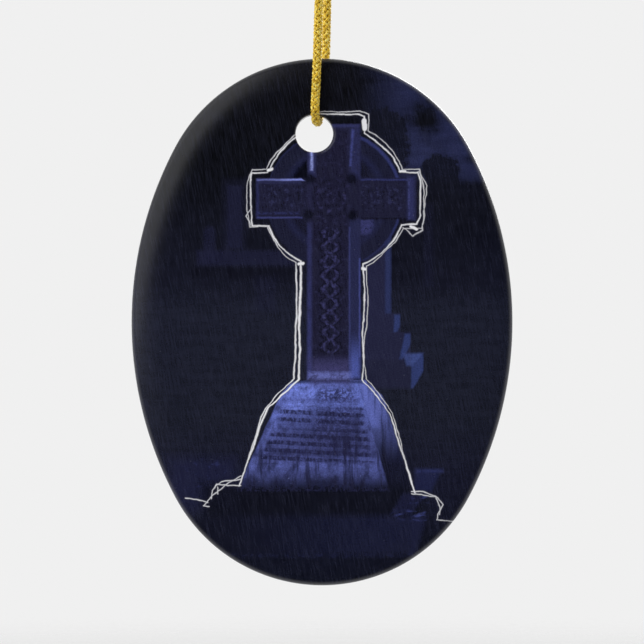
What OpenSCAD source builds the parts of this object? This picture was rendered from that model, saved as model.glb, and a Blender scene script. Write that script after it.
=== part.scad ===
// Oval porcelain hanging ornament: one flat glazed oval with a round hole near its top, on a loop
// of thin braided cord whose two ends are tied in a knot above it.
// It hangs: the origin is the top of the loop, just under the knot, and the front faces -Y.

/* [Oval] */
// Width of the oval
oval_w = 55; // [54:0.5:60]
// Height of the oval
oval_h = 76; // [75:0.5:80]
// Thickness in the middle
thickness = 4; // [3.8:0.1:4]
// Radius of the oval's two ends, which sets how full its shoulders are
end_r = 24; // [23:0.5:24.5]
// Radius of the front rim's rounded edge
front_edge_r = 1.5; // [1:0.1:2]
// Radius of the back rim's rounded edge
back_edge_r = 1; // [0.6:0.1:1.5]

/* [Hole] */
// Diameter of the hanging hole
hole_d = 5.4; // [5.3:0.1:5.6]
// Hole's centre, to the side of the oval's centre line
hole_x = -1.1; // [-1.2:0.1:-1]
// Hole's centre, above the oval's centre
hole_z = 27.1; // [27:0.1:27.2]
// Radius of the hole's rounded edges
hole_edge_r = 0.5; // [0.3:0.1:0.6]

/* [Hanging] */
// Distance from the top of the loop down to the oval's centre
drop = 75; // [74.9:0.1:75.1]
// How far the oval's centre lies to the left of the top of the loop
side = 1; // [0.9:0.1:1.1]
// Diameter of the cord
cord_d = 1.3; // [1.1:0.1:1.3]

/* [Knot] */
// Diameter of the knot
knot_d = 4.6; // [4:0.1:5.2]
// Height of the knot
knot_h = 5; // [4.4:0.1:6]
// Length of the two cut ends above the knot
tail_l = 6; // [4:0.5:8]
// Lean of each cut end from the vertical
tail_lean = 16; // [10:1:20]

/* [Hidden] */
$fn = 96;
a = oval_w / 2;
b = oval_h / 2;
// The outline is four arcs that run smoothly into each other: two ends and two long sides.
// Each arc's own centre is on a centre line, and neighbours meet on the line through both centres.
end_z = b - end_r;
side_r = (a * a + end_z * end_z - end_r * end_r) / (2 * (a - end_r));
side_x = side_r - a;
half_t = thickness / 2;
// A point outside the oval on the line where a side meets an end.
far_x = 2 * side_x;
far_z = 3 * end_z;
// Width of the band that each long side's arc carries round the flat middle.
band = 8;

// The cord's middle line, from under the knot down the front, through the hole and up the back.
route = [
    [-0.48, -0.46, 0],
    [-0.6, -0.7, -4],
    [-0.7, -0.95, -8],
    [-0.85, -1.2, -12],
    [-1, -1.45, -16],
    [-1.1, -1.7, -20],
    [-1.25, -1.95, -24],
    [-1.4, -2.2, -28],
    [-1.55, -2.45, -32],
    [-1.65, -2.7, -36],
    [-1.75, -2.8, -38.5],
    [-1.85, -2.85, -41],
    [-1.95, -2.9, -43],
    [-2, -2.9, -44.1],
    [-1.97, -2.75, -44.9],
    [-1.93, -2.3, -45.5],
    [-1.88, -1.7, -45.9],
    [-1.8, -0.9, -46.1],
    [-1.7, 0, -46.15],
    [-1.6, 0.9, -46.1],
    [-1.52, 1.7, -45.9],
    [-1.47, 2.3, -45.5],
    [-1.43, 2.75, -44.9],
    [-1.4, 2.9, -44.1],
    [-1.25, 2.9, -43],
    [-1, 2.85, -41],
    [-0.7, 2.8, -38.5],
    [-0.45, 2.7, -36],
    [-0.35, 2.45, -32],
    [-0.25, 2.2, -28],
    [-0.15, 1.95, -24],
    [-0.05, 1.7, -20],
    [0.05, 1.45, -16],
    [0.15, 1.2, -12],
    [0.25, 0.95, -8],
    [0.35, 0.7, -4],
    [0.48, 0.46, 0],
];
SIDES = 8;
last = len(route) - 1;
function unit(v) = v / norm(v);
function heading(i) = i == 0 ? [0, 0, -1]
    : i == last ? [0, 0, 1]
    : unit(unit(route[i] - route[i - 1]) + unit(route[i + 1] - route[i]));
// The route stays close to the plane x = 0, so +X can carry every ring round it without a twist.
function across(t) = unit([1, 0, 0] - t[0] * t);
function ring(i) = let (t = heading(i), u = across(t), w = cross(t, u))
    [for (k = [0:SIDES - 1]) let (q = (k + 0.5) * 360 / SIDES)
        route[i] + cord_d / 2 * (cos(q) * u + sin(q) * w)];

// Section of the rim from radius inner out to radius r, the front at the top.
module section(inner, r) {
    edge = max(front_edge_r, back_edge_r);
    translate([inner, -half_t]) square([r - edge - inner, thickness]);
    translate([inner, 0]) square([r - front_edge_r - inner, half_t]);
    translate([inner, -half_t]) square([r - back_edge_r - inner, half_t]);
    translate([inner, back_edge_r - half_t])
        square([r - inner, thickness - front_edge_r - back_edge_r]);
    translate([r - front_edge_r, half_t - front_edge_r]) circle(front_edge_r);
    translate([r - back_edge_r, back_edge_r - half_t]) circle(back_edge_r);
}

// The share of a full turn that lies inside an outline.
module share(outline) {
    intersection() {
        children();
        linear_extrude(thickness + 2, center = true) polygon(outline);
    }
}

module oval_blank() {
    for (m = [0, 1]) mirror([0, m, 0])
        share([[0, end_z], [far_x, far_z], [far_x, far_z + b], [-far_x, far_z + b], [-far_x, far_z]])
            translate([0, end_z, 0]) rotate_extrude() section(0, end_r);
    for (m = [0, 1]) mirror([m, 0, 0])
        share([[-side_x, 0], [far_x, -far_z], [far_x, far_z]])
            translate([-side_x, 0, 0]) rotate_extrude() section(side_r - band, side_r);
    // The flat middle, which runs under the bands and the ends.
    linear_extrude(thickness, center = true) intersection() {
        translate([-side_x, 0]) circle(side_r - band + 2, $fn = 360);
        translate([side_x, 0]) circle(side_r - band + 2, $fn = 360);
        square([oval_w, 2 * end_z + band * 2], center = true);
    }
}

// A bore whose mouths flare in a quarter round at both faces.
module bore() {
    r = hole_d / 2;
    cylinder(h = thickness + 2, d = hole_d, center = true);
    for (m = [0, 1]) mirror([0, 0, m]) rotate_extrude() difference() {
        translate([0, half_t - hole_edge_r]) square([r + hole_edge_r, hole_edge_r + 1]);
        translate([r + hole_edge_r, half_t - hole_edge_r]) circle(hole_edge_r);
    }
}

module porcelain_oval() {
    color("midnightblue") translate([-side, 0, -drop]) rotate([90, 0, 0]) difference() {
        oval_blank();
        translate([hole_x, hole_z, 0]) bore();
    }
}

module cord_loop() {
    color("goldenrod") polyhedron(
        points = [for (i = [0:last]) each ring(i)],
        faces = concat(
            [[for (k = [0:SIDES - 1]) SIDES - 1 - k]],
            [[for (k = [0:SIDES - 1]) last * SIDES + k]],
            [for (i = [0:last - 1]) for (k = [0:SIDES - 1]) let (n = (k + 1) % SIDES)
                [i * SIDES + k, i * SIDES + n, (i + 1) * SIDES + n, (i + 1) * SIDES + k]]
        ),
        convexity = 4
    );
}

module cord_knot() {
    r = knot_d / 2;
    e = 1.1;
    color("gold") union() {
        rotate_extrude() union() {
            square([r - e, knot_h]);
            translate([0, e]) square([r, knot_h - 2 * e]);
            translate([r - e, e]) circle(e);
            translate([r - e, knot_h - e]) circle(e);
        }
        for (s = [-1, 1]) translate([s * 0.7, s * 0.3, knot_h - 1]) rotate([0, s * tail_lean, 0])
            cylinder(h = tail_l + 1, d = cord_d);
    }
}

porcelain_oval();
cord_loop();
cord_knot();
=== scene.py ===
"""An oval porcelain hanging ornament: the printed and glazed oval, its braided gold cord and
the cord's knot, in a plain pale studio. Lengths are in metres unless a name says mm."""

import math

import bmesh
import bpy
from bpy.props import FloatProperty, FloatVectorProperty, IntProperty, PointerProperty
from bpy.types import Operator, Panel, PropertyGroup
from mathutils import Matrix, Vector


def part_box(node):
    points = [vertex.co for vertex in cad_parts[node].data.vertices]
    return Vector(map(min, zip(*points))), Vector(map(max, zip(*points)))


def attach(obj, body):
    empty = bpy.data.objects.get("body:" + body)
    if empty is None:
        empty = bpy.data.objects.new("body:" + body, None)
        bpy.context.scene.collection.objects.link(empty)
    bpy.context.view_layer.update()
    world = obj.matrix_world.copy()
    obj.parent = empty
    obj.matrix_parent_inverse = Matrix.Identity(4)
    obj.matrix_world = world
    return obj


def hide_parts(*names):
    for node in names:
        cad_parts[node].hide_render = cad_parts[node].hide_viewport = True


bl_info = {
    "name": "Hanging Ornament",
    "version": (1, 0, 0),
    "blender": (4, 5, 0),
    "location": "View3D > Sidebar > Ornament",
    "description": "Builds a printed porcelain oval on its knotted gold cord, in a plain studio",
    "category": "Object",
}

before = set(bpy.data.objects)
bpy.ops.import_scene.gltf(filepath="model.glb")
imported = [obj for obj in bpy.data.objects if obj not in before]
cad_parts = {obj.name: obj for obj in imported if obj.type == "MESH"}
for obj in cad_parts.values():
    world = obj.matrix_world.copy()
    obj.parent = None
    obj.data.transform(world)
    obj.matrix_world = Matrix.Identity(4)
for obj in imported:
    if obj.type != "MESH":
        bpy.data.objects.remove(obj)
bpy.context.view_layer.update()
oval_low, oval_high = (Vector(c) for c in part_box("porcelain_oval"))
knot_low, knot_high = (Vector(c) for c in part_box("cord_knot"))
OVAL = (oval_low + oval_high) / 2
MM = 0.001

# The braid, as parts of the cord's diameter, and how far its threads fill out past it.
THREAD_RADIUS = 0.17
CORE_RADIUS = 0.3
THREAD_FILL = 1.07
WEAVE_DEPTH = 0.42  # of a thread's radius

# The knot's tied part ends this far under the tails' cut ends.
TAIL_RISE = 0.0059
FRAY_RADIUS = 0.00005
FRAY_REACH = 0.0007
GOLDEN_ANGLE = 2.39996

FLOOR_RADIUS = 0.3
FLOOR_DROP = 0.03
FLOOR_FADE = (0.16, 0.29)

# The cord's middle line, from under the knot down the front, through the hole and up the back.
ROUTE = [
    (-0.00048, -0.00046, 0.0),
    (-0.0006, -0.0007, -0.004),
    (-0.0007, -0.00095, -0.008),
    (-0.00085, -0.0012, -0.012),
    (-0.001, -0.00145, -0.016),
    (-0.0011, -0.0017, -0.02),
    (-0.00125, -0.00195, -0.024),
    (-0.0014, -0.0022, -0.028),
    (-0.00155, -0.00245, -0.032),
    (-0.00165, -0.0027, -0.036),
    (-0.00175, -0.0028, -0.0385),
    (-0.00185, -0.00285, -0.041),
    (-0.00195, -0.0029, -0.043),
    (-0.002, -0.0029, -0.0441),
    (-0.00197, -0.00275, -0.0449),
    (-0.00193, -0.0023, -0.0455),
    (-0.00188, -0.0017, -0.0459),
    (-0.0018, -0.0009, -0.0461),
    (-0.0017, 0.0, -0.04615),
    (-0.0016, 0.0009, -0.0461),
    (-0.00152, 0.0017, -0.0459),
    (-0.00147, 0.0023, -0.0455),
    (-0.00143, 0.00275, -0.0449),
    (-0.0014, 0.0029, -0.0441),
    (-0.00125, 0.0029, -0.043),
    (-0.001, 0.00285, -0.041),
    (-0.0007, 0.0028, -0.0385),
    (-0.00045, 0.0027, -0.036),
    (-0.00035, 0.00245, -0.032),
    (-0.00025, 0.0022, -0.028),
    (-0.00015, 0.00195, -0.024),
    (-0.00005, 0.0017, -0.02),
    (0.00005, 0.00145, -0.016),
    (0.00015, 0.0012, -0.012),
    (0.00025, 0.00095, -0.008),
    (0.00035, 0.0007, -0.004),
    (0.00048, 0.00046, 0.0),
]


def tone(red, green, blue):
    """A display colour in 0 to 255 as linear light."""
    out = []
    for level in (red, green, blue):
        v = level / 255
        out.append(v / 12.92 if v <= 0.04045 else ((v + 0.055) / 1.055) ** 2.4)
    return tuple(out)


# ---------------------------------------------------------------- settings


class OvalSettings(PropertyGroup):
    end_radius: FloatProperty(
        name="End radius",
        description="Radius of the oval's two end arcs",
        default=0.024,
        unit="LENGTH",
    )
    rim_radius: FloatProperty(
        name="Rim radius",
        description="Radius of the front rim's rounded edge",
        default=0.0013,
        unit="LENGTH",
    )
    back_radius: FloatProperty(
        name="Back edge radius",
        description="Radius of the back rim's rounded edge",
        default=0.001,
        unit="LENGTH",
    )
    crown_width: FloatProperty(
        name="Crown width",
        description="Width of the band inside the rim over which the glaze eases down",
        default=0.0048,
        unit="LENGTH",
    )
    crown_radius: FloatProperty(
        name="Crown radius",
        description="Radius of that easing, seen in section",
        default=0.013,
        unit="LENGTH",
    )
    hole_x: FloatProperty(
        name="Hole offset",
        description="Hole's centre, to the side of the oval's centre line",
        default=-0.0011,
        unit="LENGTH",
    )
    hole_z: FloatProperty(
        name="Hole height",
        description="Hole's centre, above the oval's centre",
        default=0.0271,
        unit="LENGTH",
    )
    hole_radius: FloatProperty(
        name="Hole radius",
        description="Radius of the hanging hole",
        default=0.0027,
        unit="LENGTH",
    )
    hole_edge: FloatProperty(
        name="Hole edge radius",
        description="Radius of the hole's rounded edges",
        default=0.0005,
        unit="LENGTH",
    )
    glaze: FloatVectorProperty(
        name="Glaze",
        description="Colour of the white glaze",
        default=(0.86, 0.86, 0.87),
        size=3,
        min=0,
        max=1,
        subtype="COLOR",
    )


class CordSettings(PropertyGroup):
    diameter: FloatProperty(
        name="Cord diameter",
        description="Outer diameter of the braided cord",
        default=0.0013,
        unit="LENGTH",
    )
    strands: IntProperty(
        name="Strands each way",
        description="Number of threads that wind each way round the braid",
        default=4,
        min=3,
        max=12,
    )
    pitch: FloatProperty(
        name="Pitch",
        description="Length of cord in which a thread goes once round",
        default=0.0039,
        unit="LENGTH",
    )
    steps: IntProperty(
        name="Steps per pitch",
        description="Number of points on a thread for each time it goes round",
        default=36,
        min=8,
        max=80,
    )
    tail_length: FloatProperty(
        name="Tail length",
        description="How far the cut tails stand above the knot",
        default=0.0055,
        unit="LENGTH",
    )
    gold: FloatVectorProperty(
        name="Gold",
        description="Colour of the metallic thread",
        default=tone(246, 204, 54),
        size=3,
        min=0,
        max=1,
        subtype="COLOR",
    )
    shadow: FloatVectorProperty(
        name="Thread shadow",
        description="Colour of the thread down between the others",
        default=tone(112, 66, 14),
        size=3,
        min=0,
        max=1,
        subtype="COLOR",
    )


class StudioSettings(PropertyGroup):
    view_width: FloatProperty(
        name="View width",
        description="Width of the view at the oval's front face",
        default=0.0925,
        unit="LENGTH",
    )
    lens: FloatProperty(
        name="Lens",
        description="Focal length of the camera, in millimetres",
        default=180,
    )
    backdrop: FloatVectorProperty(
        name="Backdrop",
        description="Colour of the pale backdrop",
        default=tone(240, 240, 240),
        size=3,
        min=0,
        max=1,
        subtype="COLOR",
    )


# ---------------------------------------------------------------- shared helpers


def mesh_object(name, mesh):
    made = bpy.data.objects.new(name, mesh)
    bpy.context.scene.collection.objects.link(made)
    return made


def new_material(name):
    made = bpy.data.materials.new(name)
    made.use_nodes = True
    return made, made.node_tree, made.node_tree.nodes["Principled BSDF"]


def new_group(name, inputs, outputs, kind="ShaderNodeTree"):
    """A node group with named sockets, given as (name, socket type, default) and (name, type)."""
    tree = bpy.data.node_groups.new(name, kind)
    for label, socket, default in inputs:
        made = tree.interface.new_socket(label, in_out="INPUT", socket_type=socket)
        if default is not None:
            made.default_value = default
    for label, socket in outputs:
        tree.interface.new_socket(label, in_out="OUTPUT", socket_type=socket)
    return tree, tree.nodes.new("NodeGroupInput"), tree.nodes.new("NodeGroupOutput")


class Field:
    """A number in a node tree that reads like arithmetic."""

    def __init__(self, tree, socket):
        self.tree = tree
        self.socket = socket

    def _with(self, operation, *others, clamp=False):
        node = self.tree.nodes.new("ShaderNodeMath")
        node.operation = operation
        node.use_clamp = clamp
        for k, value in enumerate(others):
            feed(self.tree, value, node.inputs[k])
        return Field(self.tree, node.outputs[0])

    def __add__(self, other):
        return self._with("ADD", self, other)

    def __sub__(self, other):
        return self._with("SUBTRACT", self, other)

    def __rsub__(self, other):
        return self._with("SUBTRACT", other, self)

    def __mul__(self, other):
        return self._with("MULTIPLY", self, other)

    def __truediv__(self, other):
        return self._with("DIVIDE", self, other)

    __radd__ = __add__
    __rmul__ = __mul__

    def abs(self):
        return self._with("ABSOLUTE", self)

    def sine(self):
        return self._with("SINE", self)

    def power(self, exponent):
        return self._with("POWER", self, exponent)

    def low(self, other):
        return self._with("MINIMUM", self, other)

    def high(self, other):
        return self._with("MAXIMUM", self, other)

    def times_plus(self, factor, offset, clamp=False):
        return self._with("MULTIPLY_ADD", self, factor, offset, clamp=clamp)

    def clamp(self):
        return self._with("ADD", self, 0.0, clamp=True)

    def smooth(self, start, end, first=0.0, last=1.0):
        node = self.tree.nodes.new("ShaderNodeMapRange")
        node.interpolation_type = "SMOOTHSTEP"
        for key, value in (
            ("Value", self),
            ("From Min", start),
            ("From Max", end),
            ("To Min", first),
            ("To Max", last),
        ):
            feed(self.tree, value, node.inputs[key])
        return Field(self.tree, node.outputs["Result"])


def feed(tree, value, socket):
    if isinstance(value, Field):
        tree.links.new(value.socket, socket)
    elif isinstance(value, bpy.types.NodeSocket):
        tree.links.new(value, socket)
    else:
        socket.default_value = value


def place(tree, group, **values):
    """A group in a tree, with underscores in the value names standing for spaces."""
    node = tree.nodes.new(
        "ShaderNodeGroup" if tree.bl_idname == "ShaderNodeTree" else "GeometryNodeGroup"
    )
    node.node_tree = group
    for key, value in values.items():
        feed(tree, value, node.inputs[key.replace("_", " ")])
    return node


def mixed(tree, factor, first, second, mode="MIX"):
    node = tree.nodes.new("ShaderNodeMix")
    node.data_type = "RGBA"
    node.blend_type = mode
    feed(tree, factor, node.inputs[0])
    for key, value in ((6, first), (7, second)):
        feed(tree, (*value, 1.0) if isinstance(value, tuple) else value, node.inputs[key])
    return node.outputs[2]


def stretched(tree, vector, scale, shift=(0.0, 0.0, 0.0)):
    """Coordinates scaled, then shifted."""
    node = tree.nodes.new("ShaderNodeMapping")
    node.inputs["Location"].default_value = shift
    node.inputs["Scale"].default_value = scale
    feed(tree, vector, node.inputs["Vector"])
    return node.outputs[0]


def noise_of(tree, vector, scale, detail=2.0, roughness=0.5):
    node = tree.nodes.new("ShaderNodeTexNoise")
    node.noise_dimensions = "3D"
    feed(tree, vector, node.inputs["Vector"])
    node.inputs["Scale"].default_value = scale
    node.inputs["Detail"].default_value = detail
    node.inputs["Roughness"].default_value = roughness
    return Field(tree, node.outputs[0])


def bumped(tree, shader, height, strength, distance):
    """Raises the surface by a height, for the shader's normal."""
    bump = tree.nodes.new("ShaderNodeBump")
    bump.inputs["Strength"].default_value = strength
    bump.inputs["Distance"].default_value = distance
    feed(tree, height, bump.inputs["Height"])
    tree.links.new(bump.outputs[0], shader.inputs["Normal"])


# ---------------------------------------------------------------- the printed picture

NIGHT = tone(14, 15, 21)
CLOUD = tone(42, 46, 79)
LEAF = tone(20, 21, 31)
STONE = tone(30, 31, 54)
EDGE = tone(60, 66, 128)
LIT = tone(112, 128, 218)
SHADE = tone(15, 15, 25)
CHALK = tone(234, 234, 238)
# Taken off the printed picture, because the glaze lays a faint veil over its darks.
VEIL = (0.0034, 0.0034, 0.0044)

# Measures of the picture in millimetres, and slopes.
RAIN_SLANT = 0.19
ROW_PITCH = 1.12
ROW_SLOPE = 0.055
INTERLACE_PITCH = 4.1
INTERLACE_SWING = 0.95
WAVE_COUNT = 4.6
OUTLINE_FOOT = 24.1
BEYOND = 1000.0


def shape_group(name, numbers, build):
    """A shape of a picture: from a place across and up to a soft mask and a distance."""
    sockets = [("Across", "NodeSocketFloat", 0.0), ("Up", "NodeSocketFloat", 0.0)]
    sockets += [(label, "NodeSocketFloat", value) for label, value in numbers]
    sockets += [("Softness", "NodeSocketFloat", 0.25)]
    outputs = [("Mask", "NodeSocketFloat"), ("Distance", "NodeSocketFloat")]
    tree, source, sink = new_group(name, sockets, outputs)
    distance = build(*(Field(tree, source.outputs[label]) for label, *_ in sockets[:-1]))
    soft = Field(tree, source.outputs["Softness"])
    feed(tree, (distance / soft).times_plus(-1.0, 0.5, clamp=True), sink.inputs["Mask"])
    feed(tree, distance, sink.inputs["Distance"])
    return tree


def slab_distance(x, z, left, right, bottom, top, top_left, top_right):
    """A patch with a level top and bottom and sides that may lean."""
    rise = (z - bottom) / (top - bottom)
    away_left = (top_left - left).times_plus(rise, left) - x
    away_right = x - (top_right - right).times_plus(rise, right)
    return away_left.high(away_right).high((bottom - z).high(z - top))


def round_distance(x, z, centre_x, centre_z, radius, flatness):
    """An ellipse, lower than it is wide where its flatness is over 1."""
    across = x - centre_x
    up = (z - centre_z) * flatness
    return across.times_plus(across, up * up).power(0.5) - radius


def stroke_distance(x, z, x0, z0, x1, z1, width):
    """A straight stroke of a pen."""
    along_x = x1 - x0
    along_z = z1 - z0
    here_x = x - x0
    here_z = z - z0
    reached = here_x.times_plus(along_x, here_z * along_z)
    run = (reached / along_x.times_plus(along_x, along_z * along_z)).clamp()
    off_x = here_x - along_x * run
    off_z = here_z - along_z * run
    return off_x.times_plus(off_x, off_z * off_z).power(0.5) - width * 0.5


def picture_shapes():
    """The groups that the picture is laid down with."""
    sides = [("Left", -1.0), ("Right", 1.0), ("Bottom", -1.0), ("Top", 1.0)]
    centre = [("Centre across", 0.0), ("Centre up", 0.0), ("Radius", 1.0), ("Flatness", 1.0)]
    ends = [("From across", 0.0), ("From up", 0.0), ("To across", 0.0), ("To up", 1.0)]
    ends += [("Width", 0.3)]
    slab = shape_group("soft slab", sides + [("Top left", -1.0), ("Top right", 1.0)], slab_distance)
    shapes = {
        "slab": slab,
        "round": shape_group("soft round", centre, round_distance),
        "stroke": shape_group("straight stroke", ends, stroke_distance),
    }
    shapes["silhouette"] = silhouette_group(shapes)
    return shapes


class Picture:
    """A picture laid down one patch at a time, with places in millimetres across and up."""

    def __init__(self, tree, x, z, shapes, point=None):
        self.tree = tree
        self.x = x
        self.z = z
        self.shapes = shapes
        self.point = point
        self.colour = None

    def shape(self, name, output, **values):
        values = {"Across": self.x, "Up": self.z, **values}
        return Field(self.tree, place(self.tree, self.shapes[name], **values).outputs[output])

    def slab(
        self, left, right, bottom, top, top_left=None, top_right=None, soft=0.25, output="Mask"
    ):
        return self.shape(
            "slab",
            output,
            Left=left,
            Right=right,
            Bottom=bottom,
            Top=top,
            Top_left=left if top_left is None else top_left,
            Top_right=right if top_right is None else top_right,
            Softness=soft,
        )

    def round(self, x, z, radius, flatness=1.0, soft=0.25, output="Mask"):
        return self.shape(
            "round",
            output,
            Centre_across=x,
            Centre_up=z,
            Radius=radius,
            Flatness=flatness,
            Softness=soft,
        )

    def lay(self, mask, colour, amount=1.0):
        """Lays a colour over what is there."""
        if amount != 1.0:
            mask = mask * amount
        self.colour = mixed(self.tree, mask, self.colour, colour)

    def lay_slabs(self, *rows, within=None):
        """Lays slabs, each by its sides, softness, colour and amount.

        A row may go on with a field and its range, where the slab is worn away or fades."""
        for sides, soft, colour, amount, *wear in rows:
            mask = self.slab(*sides, soft=soft)
            if within is not None:
                mask = within * mask
            if wear:
                field, *ends = wear
                mask = mask * field.smooth(*ends)
            self.lay(mask, colour, amount)

    def grade(self, factor):
        """Lightens and darkens what is there."""
        scale = self.tree.nodes.new("ShaderNodeHueSaturation")
        feed(self.tree, factor, scale.inputs["Value"])
        feed(self.tree, self.colour, scale.inputs["Color"])
        self.colour = scale.outputs[0]

    def settle(self, done=None):
        """Ties what follows to what is done, so the renderer works it out in this order.

        It holds only so many values at once, and the bound is too high to change any place."""
        if done is None:
            parts = self.tree.nodes.new("ShaderNodeSeparateColor")
            feed(self.tree, self.colour, parts.inputs[0])
            done = Field(self.tree, parts.outputs[0])
        bound = done + BEYOND
        self.x = self.x.low(bound)
        self.z = self.z.low(bound)

    def noise(self, across, up, detail=2.0, shift=0.0, roughness=0.5):
        """Noise with its own fineness across and up, as features to the millimetre."""
        at = stretched(self.tree, self.point, (across, 0.0, up), (shift, shift, shift))
        return noise_of(self.tree, at, 1.0, detail, roughness)

    def strokes(self, places, width):
        """The distance to a line through the places."""
        distance = None
        for (x0, z0), (x1, z1) in zip(places, places[1:]):
            apart = self.shape(
                "stroke",
                "Distance",
                From_across=x0,
                From_up=z0,
                To_across=x1,
                To_up=z1,
                Width=width,
            )
            distance = apart if distance is None else distance.low(apart)
        return distance

    def moved(self, fineness, amount, seed):
        """The same picture plane with its places shifted by noise, as by a hand or old stone."""
        x = self.x + (self.noise(fineness, fineness, 2.0, seed) - 0.5) * amount
        z = self.z + (self.noise(fineness, fineness, 2.0, seed + 40.0) - 0.5) * amount
        return Picture(self.tree, x, z, self.shapes, self.point)


def silhouette_group(shapes):
    """The distance to a ringed cross on its tapering base, a little larger all round."""
    floats = [("Across", "NodeSocketFloat", 0.0), ("Up", "NodeSocketFloat", 0.0)]
    tree, source, sink = new_group("cross silhouette", floats, [("Distance", "NodeSocketFloat")])
    across, up = (Field(tree, source.outputs[name]) for name in ("Across", "Up"))
    p = Picture(tree, across, up, shapes)
    distance = p.slab(-0.9, 6.1, 10.0, 29.75, -0.9, 6.1, output="Distance")
    distance = distance.low(p.slab(-10.15, 14.1, 13.95, 21.5, -10.2, 14.1, output="Distance"))
    distance = distance.high(p.round(1.9, 17.8, 12.45, output="Distance"))
    distance = distance.low(p.round(1.8, 17.7, 10.25, output="Distance"))
    distance = distance.low(p.slab(-3.5, 5.9, -10, 14.0, -2.9, 6.0, output="Distance"))
    shoulder = p.slab(-25.0, 21.2, -28.6, -7.9, -3.1, 5.7, output="Distance")
    flank = p.slab(-13.6, 14.7, -28.6, -7.9, -6.2, 8.0, output="Distance")
    feed(tree, distance.low(shoulder.high(flank)), sink.inputs["Distance"])
    return tree


def rain_group():
    """Fine slanting streaks of rain, from a place in millimetres."""
    tree, source, sink = new_group(
        "rain streaks", [("Point", "NodeSocketVector", None)], [("Mask", "NodeSocketFloat")]
    )

    def streaks(across, up, shift):
        lean = tree.nodes.new("ShaderNodeMapping")
        lean.vector_type = "TEXTURE"
        lean.inputs["Location"].default_value = (shift, 0.0, shift)
        lean.inputs["Rotation"].default_value = (0.0, -RAIN_SLANT, 0.0)
        lean.inputs["Scale"].default_value = (1 / across, BEYOND, 1 / up)
        tree.links.new(source.outputs["Point"], lean.inputs["Vector"])
        return noise_of(tree, lean.outputs[0], 1.0, 1.0)

    fine = streaks(5.0, 0.36, 0.0).smooth(0.36, 0.8)
    coarse = streaks(1.9, 0.16, 70.0).smooth(0.5, 0.85)
    feed(tree, fine.high(coarse * 0.7), sink.inputs["Mask"])
    return tree


def lay_night(p):
    """Sky, trees and wet ground."""
    height = (p.z + 38.0) / 76.0
    ramp = p.tree.nodes.new("ShaderNodeValToRGB")
    feed(p.tree, height, ramp.inputs[0])
    stops = (
        (0.02, tone(18, 20, 35)),
        (0.2, tone(24, 25, 42)),
        (0.32, tone(28, 30, 43)),
        (0.52, tone(29, 31, 45)),
        (0.58, tone(22, 23, 36)),
        (0.7, tone(18, 19, 29)),
        (0.78, NIGHT),
        (1.0, tone(17, 17, 23)),
    )
    while len(ramp.color_ramp.elements) < len(stops):
        ramp.color_ramp.elements.new(0.5)
    for element, (position, colour) in zip(ramp.color_ramp.elements, stops):
        element.position = position
        element.color = (*colour, 1.0)
    p.colour = ramp.outputs[0]
    high = p.noise(0.16, 0.22, 3.0, 3.0)
    p.lay(p.x.smooth(4.0, 15.0) * p.z.smooth(17.0, 23.0) * high.smooth(0.24, 0.54), CLOUD, 0.95)
    ragged = p.noise(0.9, 0.9, 3.0, 11.0)
    crown = p.round(8.6, 25.5, 4.2, 0.75, 3.0) * 1.3 + ragged * 1.4
    p.lay(crown.smooth(1.25, 1.65), LEAF, 0.85)
    bush = p.round(17.0, 21.5, 3.0, 1.1, 2.6) * 1.3 + ragged * 1.4
    p.lay(bush.smooth(1.25, 1.6), LEAF, 0.9)
    line = p.z + p.noise(0.45, 0.1, 2.0, 5.0) * 4.0
    p.lay(line.smooth(22.8, 21.6) * line.smooth(14.0, 19.0) * p.x.smooth(5.0, 8.0), LEAF, 0.9)
    wet = p.noise(0.22, 1.1, 3.0, 17.0)
    p.grade(wet.smooth(0.25, 0.75, 0.86, 1.16))


def lay_distant_stones(p):
    """Low stones behind the cross: a box tomb, a round top and a ledge, a post on three steps."""
    rounded = p.slab(-17.0, -15.3, 8.6, 12.9, soft=0.6).high(p.round(-16.15, 12.9, 0.85, 1.0, 0.6))
    p.lay(rounded, STONE, 0.7)
    p.lay_slabs(
        ((-14.3, -10.9, 10.4, 20.6), 0.9, STONE, 0.3),
        ((-13.6, -11.5, 10.6, 19.6), 0.5, STONE, 0.75),
        ((-18.0, -2.8, 8.0, 10.3), 0.7, STONE, 0.8),
        ((-18.5, -2.8, 6.3, 8.0), 1.0, SHADE, 0.55),
        ((-9.5, -6.5, 1.5, 6.5), 1.2, STONE, 0.35),
        ((14.6, 16.0, 5.0, 17.0), 0.7, STONE, 0.3),
    )
    stone = tone(40, 41, 70)
    side = tone(52, 64, 116)
    p.lay_slabs(
        ((6.0, 9.9, 1.0, 14.5), 0.4, stone, 0.85),
        ((9.1, 9.9, 1.2, 14.5), 0.4, side, 0.5),
        ((5.5, 11.2, -1.6, 1.2), 0.35, stone, 0.8),
    )
    top_step = p.slab(10.3, 10.7, -1.5, 1.1, 10.4, 12.2, soft=0.3) * p.slab(9.0, 11.2, -1.7, 1.1)
    p.lay(top_step, side, 0.85)
    p.lay(p.slab(5.5, 12.7, -5.4, -1.5, soft=0.35), stone, 0.75)
    mid_step = p.slab(11.1, 11.5, -5.4, -1.7, 11.9, 13.6, soft=0.3) * p.slab(9.0, 12.7, -5.6, -1.6)
    p.lay(mid_step, side, 0.85)
    p.lay(p.slab(5.5, 12.8, -9.5, -5.2, soft=0.6), stone, 0.55)
    low_step = p.slab(12.8, 13.1, -9.5, -4.6, 12.8, 16.0, soft=0.3)
    p.lay(low_step * p.slab(11.0, 14.55, -9.6, -4.6), side, 0.8)
    p.lay_slabs(
        ((12.2, 13.0, -6.3, -4.5, 11.6, 14.5), 0.4, tone(66, 80, 138), 0.7),
        ((6.0, 13.2, -9.4, 14.5), 1.5, SHADE, 0.12),
    )


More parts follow.
